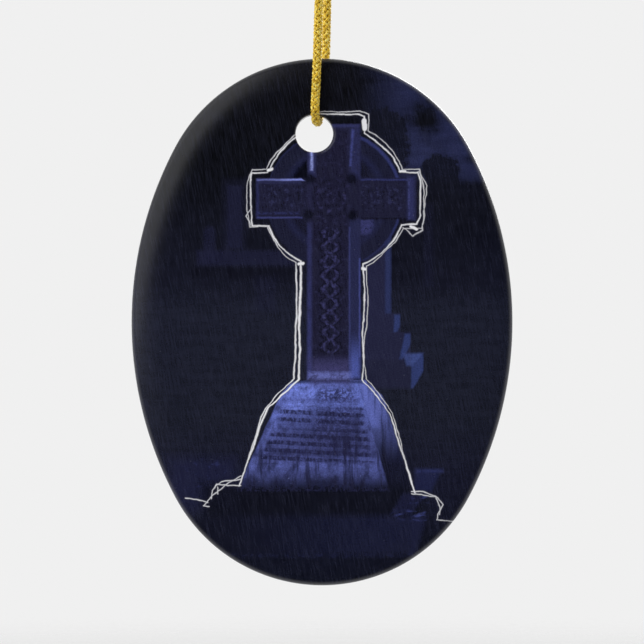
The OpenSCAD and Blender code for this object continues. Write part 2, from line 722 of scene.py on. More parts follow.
def lay_plinth(p, rough):
    """The stepped slab under the base, nearly lost in the dark."""
    p.lay(p.slab(-22.0, -12.5, -27.0, -19.6, soft=2.2), tone(30, 32, 62), 0.6)
    p.lay(rough.smooth(0.56, 0.68) * p.slab(-20.0, -12.5, -24.5, -19.5, soft=1.5), EDGE, 0.25)
    p.lay_slabs(
        ((-17.2, 14.8, -33.6, -23.2), 2.2, tone(17, 18, 29), 0.92),
        ((13.2, 15.6, -24.4, -21.1, 13.4, 17.2), 0.7, tone(36, 41, 82), 0.5),
        ((13.6, 17.4, -21.6, -21.2), 0.4, tone(66, 74, 138), 0.4, rough, 0.3, 0.7),
        ((12.6, 13.6, -33.4, -27.9, 12.8, 15.0), 0.9, tone(33, 36, 70), 0.55),
        ((9.8, 12.8, -27.6, -24.6, 11.6, 15.2), 0.6, tone(28, 30, 58), 0.7),
    )
    glints = p.noise(0.6, 1.7, 3.0, 67.0).smooth(0.46, 0.76)
    wet_top = p.slab(10.4, 14.8, -28.4, -27.2, soft=0.7)
    wet_top = wet_top.high(p.slab(12.8, 15.4, -25.9, -25.0, soft=0.6))
    p.lay(glints * wet_top, tone(84, 94, 170), 0.7)
    front = p.slab(-17.0, 13.0, -33.4, -27.8, soft=1.2) * p.x.smooth(-16.0, 12.0, 0.2, 1.0)
    p.lay(front, tone(31, 34, 64), 0.55)
    p.lay(p.slab(-16.0, 12.9, -33.8, -33.4, soft=0.7) * rough.smooth(0.35, 0.75), EDGE, 0.16)


def lay_pedestal(p, rough):
    """The tapering base: a moulded top, a worn inscription and rain stains."""
    fine = p.noise(2.6, 2.6, 3.0, 23.0)
    drips = p.noise(1.3, 0.16, 2.0, 29.0)
    side = p.slab(4.0, 23.5, -24.4, -8.3, 4.0, 6.2, soft=0.3)
    side = side * p.slab(4.0, 13.2, -24.4, -8.3, 4.0, 8.0)
    p.lay(side * p.z.smooth(-25.0, -20.0), tone(22, 23, 42), 0.95)
    p.lay(side * p.z.smooth(-21.0, -9.0) * drips.smooth(0.25, 0.6), tone(102, 113, 190), 0.9)
    p.lay(side * p.slab(6.6, 8.2, -15.0, -9.0, 5.4, 6.6, soft=0.9), tone(104, 116, 198), 0.5)
    face = p.slab(-19.8, 11.4, -24.4, -8.5, -4.1, 5.0, soft=0.3) * p.slab(
        -12.3, 9.7, -24.4, -8.5, -5.0, 5.1, soft=0.3
    )
    lower = p.z.smooth(-24.3, -20.2)
    p.lay(face, tone(17, 18, 31))
    patches = p.noise(0.5, 0.28, 2.0, 83.0).smooth(0.25, 0.6, 0.35, 1.0)
    p.lay(face * lower * patches * (0.6 + 0.7 * rough), tone(88, 97, 166))
    p.lay(face * p.z.smooth(-17.5, -9.5) * (0.25 + 0.95 * rough), LIT, 0.9)
    p.lay_slabs(
        ((-5.0, -0.6, -13.2, -8.8), 2.2, tone(124, 140, 232), 0.75, fine, 0.3, 0.6),
        ((-5.6, 5.4, -11.5, -10.9), 0.5, tone(60, 64, 118), 0.5),
        ((-0.6, 4.6, -11.4, -9.4), 1.2, tone(40, 38, 66), 0.8, fine, 0.4, 0.58),
        ((-1.5, 5.0, -17.8, -12.0), 2.6, tone(40, 40, 74), 0.75, fine, 0.3, 0.56),
        within=face,
    )
    p.settle()
    stains = drips.smooth(0.5, 0.66) * p.z.smooth(-15.0, -20.0)
    p.lay(face * stains, tone(26, 26, 46), 0.75)
    p.lay(face * p.noise(0.7, 0.5, 3.0, 91.0).smooth(0.5, 0.68), tone(24, 24, 46), 0.6)
    p.lay_slabs(
        ((1.2, 4.8, -24.0, -16.5), 1.6, tone(24, 24, 44), 0.8, drips, 0.4, 0.6),
        within=face,
    )
    tilt = p.z + p.x * ROW_SLOPE
    row = (tilt * (math.tau / ROW_PITCH)).sine().smooth(-0.55, 0.4)
    marks = p.noise(2.9, 1.4, 2.0, 37.0).smooth(0.4, 0.56)
    written = (
        p.slab(-6.6, -1.6, -14.6, -12.2, -5.8, -1.4, soft=0.5)
        .high(p.slab(-0.7, 6.0, -15.2, -12.4, soft=0.5))
        .high(p.slab(-9.0, 7.4, -20.2, -15.4, -7.2, 6.4, soft=0.6))
    )
    p.lay(face * row * written, tone(34, 34, 66), 0.4)
    p.lay(face * row * marks * written * rough.smooth(0.25, 0.5), tone(28, 28, 54), 0.85)
    p.lay_slabs(
        ((-10.0, 8.2, -19.3, -18.4), 0.6, tone(30, 30, 60), 0.65, rough, 0.35, 0.6),
        within=face,
    )
    p.lay(face * fine.smooth(0.66, 0.8), tone(150, 160, 225), 0.4)
    p.lay(face * fine.smooth(0.36, 0.22), tone(30, 30, 55), 0.45)
    faded = face * p.slab(-8.0, 8.2, -20.0, -12.6, -5.0, 6.0, soft=1.5) * patches
    p.lay(faded, tone(38, 38, 70), 0.4)
    p.lay(face * (rough - 0.5).abs().smooth(0.05, 0.0), tone(44, 46, 84), 0.35)
    p.lay(p.slab(-4.6, 5.8, -8.8, -8.45, soft=0.35), SHADE, 0.75)


def lay_cross(p, rough):
    """The ringed cross: its upright, arms and ring, with lit edges and worn carving."""
    carved = p.noise(2.2, 2.2, 3.0, 41.0)
    ring = p.round(1.8, 17.65, 9.75)
    p.lay(ring, tone(29, 30, 51), 0.96)
    rim = p.round(1.8, 17.65, 9.75).low(1.0 - p.round(1.6, 17.5, 9.55))
    rim = rim * p.x.smooth(-1.0, 6.0, 0.35, 1.0) * p.z.smooth(8.0, 19.0, 0.4, 1.0)
    p.lay(rim, tone(66, 74, 142), 0.45)
    inner = p.round(1.8, 17.65, 7.0, 1.0, 0.6)
    p.lay_slabs(
        ((-6.0, -1.2, 20.3, 25.0), 0.7, tone(9, 9, 18), 0.95),
        ((-6.0, -1.8, 9.0, 15.0), 0.6, tone(24, 24, 42), 0.5),
        ((5.4, 6.6, 20.8, 26.0), 0.8, tone(18, 18, 32), 0.6),
        ((4.4, 7.4, 12.6, 14.8), 0.5, tone(60, 62, 112), 0.8, carved, 0.3, 0.5),
        within=inner,
    )
    band = p.round(1.8, 17.65, 7.6, soft=0.6).low(1.0 - p.round(1.8, 17.65, 6.7, soft=0.6))
    p.lay(band * carved, EDGE, 0.2)
    p.settle()
    body = tone(31, 31, 53)
    p.lay_slabs(
        ((-9.5, 13.6, 14.75, 20.75, -9.5, 13.6), 0.25, body, 1.0),
        ((12.3, 13.3, 14.7, 20.8), 0.6, tone(50, 53, 98), 0.75),
        ((12.4, 12.6, 14.8, 20.6), 0.25, tone(78, 84, 142), 0.6, carved, 0.3, 0.6),
    )
    edge = p.slab(-9.4, -2.5, 20.3, 20.55, -9.4, -2.9, soft=0.2)
    p.lay(edge * p.x.smooth(-8.0, -3.6, 0.5, 1.0), tone(142, 152, 236), 0.85)
    p.lay_slabs(
        ((-9.2, -3.0, 19.85, 20.25), 0.3, tone(46, 48, 86), 0.6),
        ((4.9, 12.3, 20.35, 20.55), 0.25, EDGE, 0.6, carved, 0.2, 0.5),
        ((-9.3, -2.8, 14.9, 15.1), 0.22, tone(68, 72, 130), 0.75),
        ((-9.2, -3.2, 15.5, 15.75), 0.3, EDGE, 0.5, carved, 0.35, 0.6),
        ((4.9, 12.4, 14.7, 14.95), 0.3, SHADE, 0.6),
        ((-9.4, -9.1, 15.0, 20.5), 0.4, EDGE, 0.3),
    )
    worn = p.noise(1.3, 1.3, 4.0, 47.0, 0.65)
    arm = p.slab(-8.7, 11.8, 15.9, 19.7, soft=0.8)
    p.lay(arm * worn.smooth(0.5, 0.66), tone(58, 60, 102), 0.5)
    p.lay(arm * worn.smooth(0.47, 0.34), tone(17, 17, 30), 0.6)
    p.settle()
    shaft = p.slab(-2.15, 5.55, -8.3, 28.4, -2.1, 5.5)
    p.lay(shaft, tone(37, 37, 64))
    p.lay_slabs(
        ((3.95, 5.5, -8.3, 14.9), 0.4, tone(39, 42, 76), 0.8),
        ((3.95, 5.5, 14.9, 20.5), 0.5, body, 0.95),
        ((4.1, 5.5, 20.5, 28.2), 0.5, tone(48, 52, 98), 0.5, worn, 0.25, 0.6),
        ((3.95, 4.2, 22.4, 27.6, 4.3, 4.6), 0.3, tone(78, 86, 158), 0.6, worn, 0.2, 0.5),
        ((-2.0, 5.3, 28.0, 28.4), 0.3, tone(58, 62, 112), 0.5),
        ((-1.35, 3.75, -5.2, 27.6), 0.5, tone(28, 27, 47), 0.85),
    )
    left_edge = p.slab(-2.1, -1.5, -8.0, 14.2, soft=0.4) * p.z.smooth(14.0, -8.0, 0.5, 1.0)
    p.lay(left_edge * rough.smooth(0.1, 0.6), tone(62, 67, 126), 0.6)
    p.lay_slabs(
        ((-1.9, -1.0, 20.9, 25.5), 0.6, tone(66, 70, 124), 0.6, rough, 0.2, 0.5),
        ((-1.65, -1.3, 21.8, 24.6), 0.3, tone(160, 170, 240), 0.75, carved, 0.25, 0.5),
        ((-1.6, 4.2, -4.0, 27.0), 0.6, tone(52, 52, 88), 0.45, worn, 0.5, 0.68),
        ((-1.6, 4.0, -9.0, -5.6), 2.0, tone(66, 64, 110), 0.85, worn, 0.2, 0.6),
        ((-2.0, 4.4, -8.2, -7.2), 0.5, tone(104, 112, 182), 0.8, rough, 0.3, 0.55),
        ((4.1, 5.4, -8.0, -1.0), 0.6, tone(80, 92, 168), 0.75, p.z, -1.0, -6.5),
        ((5.3, 5.5, -5.0, 9.2), 0.2, tone(92, 102, 186), 0.4),
        ((3.85, 4.05, -7.8, 13.6), 0.2, tone(72, 79, 142), 0.4),
    )
    p.settle()
    for x, z in ((-1.75, 20.7), (-1.85, 15.4), (4.3, 15.3), (4.3, 20.6)):
        p.lay(p.round(x, z, 0.75, 1.0, 0.7), tone(10, 10, 20), 0.85)
    middle_x = p.x - 1.15 + (worn - 0.5) * 1.3
    swing = ((p.z + worn) * (math.tau / INTERLACE_PITCH)).sine() * INTERLACE_SWING
    rope = (middle_x - swing).abs().low((middle_x + swing).abs())
    panel = p.slab(-0.7, 3.1, -4.6, 13.4, soft=0.8)
    p.lay(panel * rope.smooth(0.45, 0.1) * carved.smooth(0.4, 0.6), tone(70, 70, 120), 0.55)
    p.lay(panel * (rope - 0.62).abs().smooth(0.3, 0.05), tone(14, 14, 26), 0.5)
    waves = (p.round(1.3, 17.8, 1.6, output="Distance") * WAVE_COUNT).sine()
    middle = p.round(1.3, 17.8, 2.9, 1.0, 0.8)
    p.lay(middle * waves.smooth(0.1, 0.9) * worn.smooth(0.45, 0.62), tone(62, 62, 106), 0.45)
    p.lay(middle * waves.smooth(-0.2, -0.9) * carved.smooth(0.7, 0.4), tone(16, 16, 30), 0.4)


def lay_outline(p):
    """A bright line drawn round the cross by hand, twice over in places."""
    thick = p.noise(0.5, 0.35, 2.0, 53.0)
    spread = p.noise(0.11, 0.13, 1.0, 71.0).smooth(0.36, 0.6, 0.15, 1.0)
    strokes = None
    heavy = p.x.smooth(1.0, -2.5) * p.z.smooth(9.0, 6.0) * p.z.smooth(-24.0, -9.0)
    for seed, offset, width in ((3.0, 0.0, 0.165), (19.0, 0.52, 0.08)):
        hand = p.moved(0.16, 1.1, seed).moved(1.1, 0.2, seed + 5.0)
        apart = (hand.shape("silhouette", "Distance") - spread * offset).abs()
        apart = apart - (thick * width + heavy * 0.06)
        strokes = apart if strokes is None else strokes.low(apart)
        p.settle(strokes)
    strokes = strokes.high(p.x * -0.04 - OUTLINE_FOOT - p.z)
    hand = p.moved(0.8, 0.35, 7.0)
    for places, width in (
        (((-11.7, -23.5), (-13.2, -23.5), (-15.1, -23.3), (-15.7, -24.2), (-15.9, -25.4)), 0.1),
        (((-11.6, -22.6), (-14.5, -22.95), (-15.2, -23.5)), 0.11),
        (((-11.6, -22.1), (-13.4, -23.1), (-15.8, -25.0), (-17.0, -26.4), (-16.2, -26.5)), 0.09),
        (((-15.0, -23.7), (-15.0, -24.7)), 0.09),
        (((-19.7, -25.3), (-18.0, -25.5), (-16.4, -25.9)), 0.1),
        (
            ((12.9, -24.3), (14.6, -24.4), (16.3, -25.0), (17.4, -26.2), (16.7, -27.6), (16.5, -28.4)),
            0.1,
        ),
        (((16.5, -28.4), (18.9, -28.7)), 0.08),
        (((12.9, -24.6), (14.8, -24.9), (16.3, -25.1), (17.0, -26.6), (16.9, -27.7)), 0.09),
        (
            ((11.6, 13.6), (13.1, 12.3), (14.4, 13.2), (14.7, 16.6), (15.1, 19.6), (13.9, 21.7)),
            0.08,
        ),
        (((-10.3, 16.2), (-10.9, 15.2), (-10.2, 13.9)), 0.09),
        (((6.05, 28.9), (6.15, 27.8)), 0.7),
        (((-7.7, 21.8), (-7.2, 22.0)), 0.42),
        (((11.3, 21.6), (11.9, 21.6)), 0.36),
        (((-3.3, 8.3), (-2.7, 8.4)), 0.4),
        (((5.9, 7.7), (6.2, 7.6)), 0.45),
        (((12.8, 13.7), (13.6, 13.3)), 0.42),
    ):
        strokes = strokes.low(hand.strokes(places, width))
        hand.settle(strokes)
    p.lay(strokes.smooth(0.45, -0.2), tone(44, 44, 66), 0.4)
    p.lay(strokes.smooth(0.1, -0.1), CHALK, 0.97)


def graveyard_group():
    """The printed picture: a ringed stone cross in a wet graveyard at night."""
    tree, source, sink = new_group(
        "night graveyard print",
        [
            ("Point", "NodeSocketVector", None),
            ("Across", "NodeSocketFloat", 0.0),
            ("Up", "NodeSocketFloat", 0.0),
            ("Rain", "NodeSocketFloat", 1.0),
        ],
        [("Color", "NodeSocketColor")],
    )
    across, up, rain = (Field(tree, source.outputs[name]) for name in ("Across", "Up", "Rain"))
    plane = Picture(tree, across, up, picture_shapes(), source.outputs["Point"])
    p = plane.moved(0.9, 0.22, 1.0)
    lay_night(p)
    p.settle()
    lay_distant_stones(p)
    p.settle()
    rough = p.noise(0.95, 0.95, 4.0, 31.0, 0.6)
    lay_plinth(p, rough)
    p.settle()
    lay_pedestal(p, rough)
    p.settle()
    lay_cross(p, rough)
    p.settle()
    streaks = place(tree, rain_group(), Point=source.outputs["Point"])
    p.lay(Field(tree, streaks.outputs["Mask"]) * rain, tone(78, 82, 112), 0.1)
    p.grade(p.noise(5.0, 5.0, 1.0, 61.0).smooth(0.2, 0.8, 0.78, 1.22))
    p.colour = mixed(tree, 1.0, p.colour, VEIL, "SUBTRACT")
    p.colour.node.clamp_result = True
    lay_outline(p)
    feed(tree, p.colour, sink.inputs["Color"])
    return tree


# ---------------------------------------------------------------- porcelain oval


def oval_arcs(half_w, half_h, end_r):
    """The four arcs of the outline: centre, radius, first and last angle, all anticlockwise."""
    end_z = half_h - end_r
    side_r = (half_w**2 + end_z**2 - end_r**2) / (2 * (half_w - end_r))
    side_x = side_r - half_w
    lean = math.atan2(end_z, side_x)
    return [
        ((-side_x, 0.0), side_r, -lean, lean),
        ((0.0, end_z), end_r, lean, math.pi - lean),
        ((side_x, 0.0), side_r, math.pi - lean, math.pi + lean),
        ((0.0, -end_z), end_r, math.pi + lean, math.tau - lean),
    ]


def outline(half_w, half_h, end_r, step):
    """Points and outward directions round the oval, evenly spaced on each arc."""
    out = []
    for centre, r, first, last in oval_arcs(half_w, half_h, end_r):
        count = max(8, round(r * (last - first) / step))
        for k in range(count):
            q = first + (last - first) * k / count
            way = (math.cos(q), math.sin(q))
            out.append(((centre[0] + r * way[0], centre[1] + r * way[1]), way))
    return out


def rim_section(s, half_t):
    """Section of the rim from the flat front round to the flat back: (inset, y) pairs."""
    crown_r, rim_r, back_r = s.crown_radius, s.rim_radius, s.back_radius
    run = s.crown_width - rim_r
    rim_y = -(half_t - crown_r + math.sqrt((crown_r - rim_r) ** 2 - run**2))
    slope = math.asin(run / (crown_r - rim_r))
    pairs = [(s.crown_width + 0.0008, -half_t), (s.crown_width + 0.0002, -half_t)]
    for k in range(1, 13):
        q = slope * k / 12
        pairs.append((s.crown_width - crown_r * math.sin(q), -half_t + crown_r * (1 - math.cos(q))))
    for k in range(1, 13):
        q = slope + (math.pi / 2 - slope) * k / 12
        pairs.append((rim_r - rim_r * math.sin(q), rim_y - rim_r * math.cos(q)))
    for k in range(9):
        q = math.pi / 2 * k / 8
        pairs.append((back_r - back_r * math.cos(q), half_t - back_r + back_r * math.sin(q)))
    pairs.append((back_r + 0.0006, half_t))
    return pairs


def hole_section(s, half_t):
    """Section of the hole from the flat front through to the flat back: (radius, y) pairs."""
    r, e = s.hole_radius, s.hole_edge
    pairs = [(r + e + 0.0003, -half_t)]
    for k in range(7):
        q = math.pi / 2 * k / 6
        pairs.append((r + e - e * math.sin(q), -half_t + e - e * math.cos(q)))
    for k in range(1, 4):
        pairs.append((r, -half_t + e + (2 * half_t - 2 * e) * k / 4))
    pairs += [(radius, -y) for radius, y in reversed(pairs[:8])]
    return pairs


def oval_mesh(s):
    half = (oval_high - oval_low) / 2
    bm = bmesh.new()
    inset = bm.verts.layers.float.new("inset")
    rounds = outline(half.x, half.z, s.end_radius, 0.0005)

    def ring(points, y, deep):
        made = [bm.verts.new((OVAL.x + x, OVAL.y + y, OVAL.z + z)) for x, z in points]
        for v in made:
            v[inset] = deep
        return made

    def skin(rings, flip):
        for one, two in zip(rings, rings[1:]):
            for k in range(len(one)):
                n = (k + 1) % len(one)
                corners = [one[k], one[n], two[n], two[k]]
                bm.faces.new(corners[::-1] if flip else corners)

    rim = [
        ring([(p[0] - w[0] * d, p[1] - w[1] * d) for p, w in rounds], y, d)
        for d, y in rim_section(s, half.y)
    ]
    skin(rim, False)
    turns = [math.tau * k / 96 for k in range(96)]
    bore = [
        ring(
            [(s.hole_x + r * math.cos(q), s.hole_z + r * math.sin(q)) for q in turns],
            y,
            s.crown_width,
        )
        for r, y in hole_section(s, half.y)
    ]
    skin(bore, True)
    for outer, inner in ((rim[0], bore[0]), (rim[-1], bore[-1])):
        edges = [
            bm.edges.get((loop[k], loop[(k + 1) % len(loop)]))
            for loop in (outer, inner)
            for k in range(len(loop))
        ]
        bmesh.ops.triangle_fill(bm, use_beauty=True, use_dissolve=False, edges=edges)
    bmesh.ops.recalc_face_normals(bm, faces=bm.faces)
    for face in bm.faces:
        face.smooth = True
    mesh = bpy.data.meshes.new("porcelain oval")
    bm.to_mesh(mesh)
    bm.free()
    return mesh


def porcelain_material(s):
    """White glaze, with the picture printed into it on the front."""
    material, tree, shader = new_material("Printed glazed porcelain")
    coordinates = tree.nodes.new("ShaderNodeTexCoord").outputs["Object"]
    point = stretched(tree, coordinates, (1 / MM, 1 / MM, 1 / MM), -OVAL / MM)
    parts = tree.nodes.new("ShaderNodeSeparateXYZ")
    tree.links.new(point, parts.inputs[0])
    x, depth, z = (Field(tree, output) for output in parts.outputs)
    picture = place(tree, graveyard_group(), Point=point, Across=x, Up=z)
    inset = tree.nodes.new("ShaderNodeAttribute")
    inset.attribute_name = "inset"
    from_rim = Field(tree, inset.outputs["Fac"]).smooth(0.0, 0.1 * MM)
    off_x, off_z = x - s.hole_x / MM, z - s.hole_z / MM
    apart = off_x.times_plus(off_x, off_z * off_z).power(0.5)
    edge = (s.hole_radius + s.hole_edge) / MM
    from_hole = apart.smooth(edge - 0.75, edge - 0.45)
    printed = from_rim * from_hole * depth.smooth(0.3, -0.3)
    flecks = noise_of(tree, point, 0.35, 3.0)
    glaze = mixed(tree, flecks.smooth(0.35, 0.7), tuple(s.glaze), tuple(0.985 * c for c in s.glaze))
    feed(tree, mixed(tree, printed, glaze, picture.outputs["Color"]), shader.inputs["Base Color"])
    orange_peel = noise_of(tree, point, 1.4, 2.0)
    feed(tree, printed * 0.12 + orange_peel * 0.06 + 0.11, shader.inputs["Roughness"])
    bumped(tree, shader, orange_peel, strength=0.04, distance=0.02 * MM)
    return material


# ---------------------------------------------------------------- gold cord


def smooth_line(points, steps):
    """A smooth line through the points, with that many steps from each to the next."""
    p = [Vector(q) for q in points]
    p = [2 * p[0] - p[1], *p, 2 * p[-1] - p[-2]]
    out = []
    for a, b, c, d in zip(p, p[1:], p[2:], p[3:]):
        for k in range(steps):
            t = k / steps
            squared = (2 * a - 5 * b + 4 * c - d) * t**2
            out.append((2 * b + (c - a) * t + squared + (3 * b - a - 3 * c + d) * t**3) / 2)
    out.append(p[-2])
    return out


def braid_tree(strand_material, core_material):
    """Threads that wind both ways round a curve, over and under each other, on a dark core."""
    tree, source, sink = new_group(
        "Braided cord",
        [
            ("Geometry", "NodeSocketGeometry", None),
            ("Diameter", "NodeSocketFloat", 0.0013),
            ("Strands", "NodeSocketInt", 4),
            ("Pitch", "NodeSocketFloat", 0.0039),
            ("Steps per pitch", "NodeSocketInt", 36),
        ],
        [("Geometry", "NodeSocketGeometry")],
        "GeometryNodeTree",
    )
    nodes, link = tree.nodes, tree.links.new

    def number(name):
        return Field(tree, source.outputs[name])

    def stored(geometry, name, kind, value):
        node = nodes.new("GeometryNodeStoreNamedAttribute")
        node.data_type = kind
        node.domain = "POINT"
        node.inputs["Name"].default_value = name
        link(geometry, node.inputs["Geometry"])
        feed(tree, value, node.inputs["Value"])
        return node.outputs[0]

    def named(name, kind):
        node = nodes.new("GeometryNodeInputNamedAttribute")
        node.data_type = kind
        node.inputs["Name"].default_value = name
        return node.outputs["Attribute"]

    def vector(operation, *values):
        node = nodes.new("ShaderNodeVectorMath")
        node.operation = operation
        for k, value in enumerate(values):
            feed(tree, value, node.inputs[3 if operation == "SCALE" and k == 1 else k])
        return node.outputs[0]

    line = nodes.new("GeometryNodeResampleCurve")
    line.mode = "LENGTH"
    link(source.outputs["Geometry"], line.inputs["Curve"])
    feed(tree, number("Pitch") / number("Steps per pitch"), line.inputs["Length"])
    along = nodes.new("GeometryNodeSplineParameter").outputs["Length"]
    side = nodes.new("GeometryNodeInputNormal").outputs[0]
    tangent = nodes.new("GeometryNodeInputTangent").outputs[0]
    base = stored(line.outputs[0], "along", "FLOAT", along)
    base = stored(base, "side", "FLOAT_VECTOR", side)
    base = stored(base, "up", "FLOAT_VECTOR", vector("CROSS_PRODUCT", tangent, side))
    thread = number("Diameter") * THREAD_RADIUS
    ring = nodes.new("GeometryNodeCurvePrimitiveCircle")
    ring.inputs["Resolution"].default_value = 6
    ring.inputs["Radius"].default_value = 1.0

    def tube(curve, radius, core):
        scaled = nodes.new("GeometryNodeSetCurveRadius")
        link(curve, scaled.inputs["Curve"])
        feed(tree, radius, scaled.inputs["Radius"])
        to_mesh = nodes.new("GeometryNodeCurveToMesh")
        link(scaled.outputs[0], to_mesh.inputs["Curve"])
        link(ring.outputs["Curve"], to_mesh.inputs["Profile Curve"])
        to_mesh.inputs["Fill Caps"].default_value = True
        if "Scale" in to_mesh.inputs:
            feed(tree, radius, to_mesh.inputs["Scale"])
        return stored(to_mesh.outputs[0], "core", "FLOAT", core)

    join = nodes.new("GeometryNodeJoinGeometry")
    for way in (1, -1):
        copies = nodes.new("GeometryNodeDuplicateElements")
        copies.domain = "SPLINE"
        link(base, copies.inputs["Geometry"])
        feed(tree, number("Strands"), copies.inputs["Amount"])
        index = Field(tree, copies.outputs["Duplicate Index"])
        run = Field(tree, named("along", "FLOAT")) / number("Pitch")
        turn = (index / number("Strands") + run * way) * (math.tau)
        weave = (run * number("Strands") * (math.tau) + math.pi / 2).sine()
        out = number("Diameter") / 2 - thread + (weave * way - 1) * (thread * WEAVE_DEPTH)
        across = vector("SCALE", named("side", "FLOAT_VECTOR"), out * (turn + math.pi / 2).sine())
        over = vector("SCALE", named("up", "FLOAT_VECTOR"), out * turn.sine())
        move = nodes.new("GeometryNodeSetPosition")
        link(copies.outputs["Geometry"], move.inputs["Geometry"])
        feed(tree, vector("ADD", across, over), move.inputs["Offset"])
        kept = stored(move.outputs[0], "thread", "FLOAT", index * 0.37 + way * 0.11)
        kept = stored(kept, "lift", "FLOAT", weave * way)
        link(tube(kept, thread, 0.0), join.inputs[0])
    link(tube(base, number("Diameter") * CORE_RADIUS, 1.0), join.inputs[0])
    smooth = nodes.new("GeometryNodeSetShadeSmooth")
    link(join.outputs[0], smooth.inputs["Geometry"])
    real = nodes.new("GeometryNodeRealizeInstances")
    link(smooth.outputs[0], real.inputs["Geometry"])
    inside = Field(tree, named("core", "FLOAT"))
    geometry = real.outputs[0]
    for material, chosen in ((strand_material, 1.0 - inside), (core_material, inside)):
        finish = nodes.new("GeometryNodeSetMaterial")
        finish.inputs["Material"].default_value = material
        link(geometry, finish.inputs["Geometry"])
        feed(tree, chosen, finish.inputs["Selection"])
        geometry = finish.outputs[0]
    link(geometry, sink.inputs["Geometry"])
    return tree


def fibre_group():
    """Fine sparkle of flat metallic fibres, for the cord and its frayed ends: the gold lays the
    sparkle in as painted glints.
    """
    tree, source, sink = new_group(
        "metallic fibre",
        [("Point", "NodeSocketVector", None), ("Fineness", "NodeSocketFloat", 3400.0)],
        [(name, "NodeSocketFloat") for name in ("Sparkle", "Dullness", "Height")],
    )
    noise = tree.nodes.new("ShaderNodeTexNoise")
    tree.links.new(source.outputs["Point"], noise.inputs["Vector"])
    tree.links.new(source.outputs["Fineness"], noise.inputs["Scale"])
    noise.inputs["Detail"].default_value = 2.0
    fleck = Field(tree, noise.outputs[0])
    feed(tree, fleck.smooth(0.5, 0.63), sink.inputs["Sparkle"])
    feed(tree, fleck.smooth(0.47, 0.36), sink.inputs["Dullness"])
    feed(tree, fleck, sink.inputs["Height"])
    return tree


def attribute(tree, name):
    node = tree.nodes.new("ShaderNodeAttribute")
    node.attribute_name = name
    return Field(tree, node.outputs["Fac"])


def gold_material(s, fibre):
    """Gold thread: bright where it passes over, with brown painted shade where it passes under and
    painted glints.
    """
    material, tree, shader = new_material("Gold metallic thread")
    point = tree.nodes.new("ShaderNodeTexCoord").outputs["Object"]
    flecks = place(tree, fibre, Point=point, Fineness=3400.0)
    sparkle = Field(tree, flecks.outputs["Sparkle"])
    lift = attribute(tree, "lift")
    dyed = (attribute(tree, "thread") * 5.3).sine()
    # Painted shade: where the weave takes a thread under the others, its colour turns to the thread
    # shadow colour.
    passes_over = lift.smooth(-0.75, 0.55)
    gold = mixed(tree, dyed.smooth(-1.0, 1.0), tuple(s.gold), tuple(c * 0.86 for c in s.gold))
    # Painted glints: pale-gold flecks laid into the thread's colour where the sparkle mask is high.
    gold = mixed(tree, sparkle * 0.8, gold, tone(255, 242, 140))
    gold = mixed(tree, Field(tree, flecks.outputs["Dullness"]) * 0.5, gold, tuple(s.shadow))
    # The thread's colour with that painted shade laid in where it passes under.
    worn = mixed(tree, passes_over, tuple(s.shadow), gold)
    feed(tree, worn, shader.inputs["Base Color"])
    shader.inputs["Metallic"].default_value = 0.25
    feed(tree, 0.42 - sparkle * 0.2, shader.inputs["Roughness"])
    bumped(tree, shader, flecks.outputs["Height"], strength=0.5, distance=0.00004)
    return material


def core_material(s, fibre):
    """The cord's dark core, seen only between the threads; its colour is painted shade, taken from the
    thread's shadow colour.
    """
    material, tree, shader = new_material("Dark cord core")
    point = tree.nodes.new("ShaderNodeTexCoord").outputs["Object"]
    flecks = place(tree, fibre, Point=point, Fineness=5000.0)
    # Painted shade: the core is darker still than the thread's own shadow colour.
    dark = tuple(0.45 * c for c in s.shadow)
    colour = mixed(tree, flecks.outputs["Sparkle"], dark, tuple(s.shadow))
    feed(tree, colour, shader.inputs["Base Color"])
    shader.inputs["Roughness"].default_value = 0.8
    return material


def plain_mesh(guide):
    """What a guide curve comes to, as a plain mesh. The guide is removed."""
    bpy.context.view_layer.update()
    graph = bpy.context.evaluated_depsgraph_get()
    mesh = bpy.data.meshes.new_from_object(guide.evaluated_get(graph), depsgraph=graph)
    bpy.data.objects.remove(guide)
    return mesh


def poly_curve(name, lines):
    data = bpy.data.curves.new(name, "CURVE")
    data.dimensions = "3D"
    for line in lines:
        spline = data.splines.new("POLY")
        spline.points.add(len(line) - 1)
        for point, place_ in zip(spline.points, line):
            point.co = (*place_, 1)
    return mesh_object(name, data)


def braided(name, lines, s, tree):
    """A plain mesh of the braid along each line."""
    guide = poly_curve(name + " guide", lines)
    modifier = guide.modifiers.new("Braid", "NODES")
    modifier.node_group = tree
    sockets = {i.name: i.identifier for i in tree.interface.items_tree if i.in_out == "INPUT"}
    modifier[sockets["Diameter"]] = s.diameter * THREAD_FILL
    modifier[sockets["Strands"]] = s.strands
    modifier[sockets["Pitch"]] = s.pitch
    modifier[sockets["Steps per pitch"]] = s.steps
    guide.data.update_tag()
    mesh = plain_mesh(guide)
    mesh.name = name
    return mesh


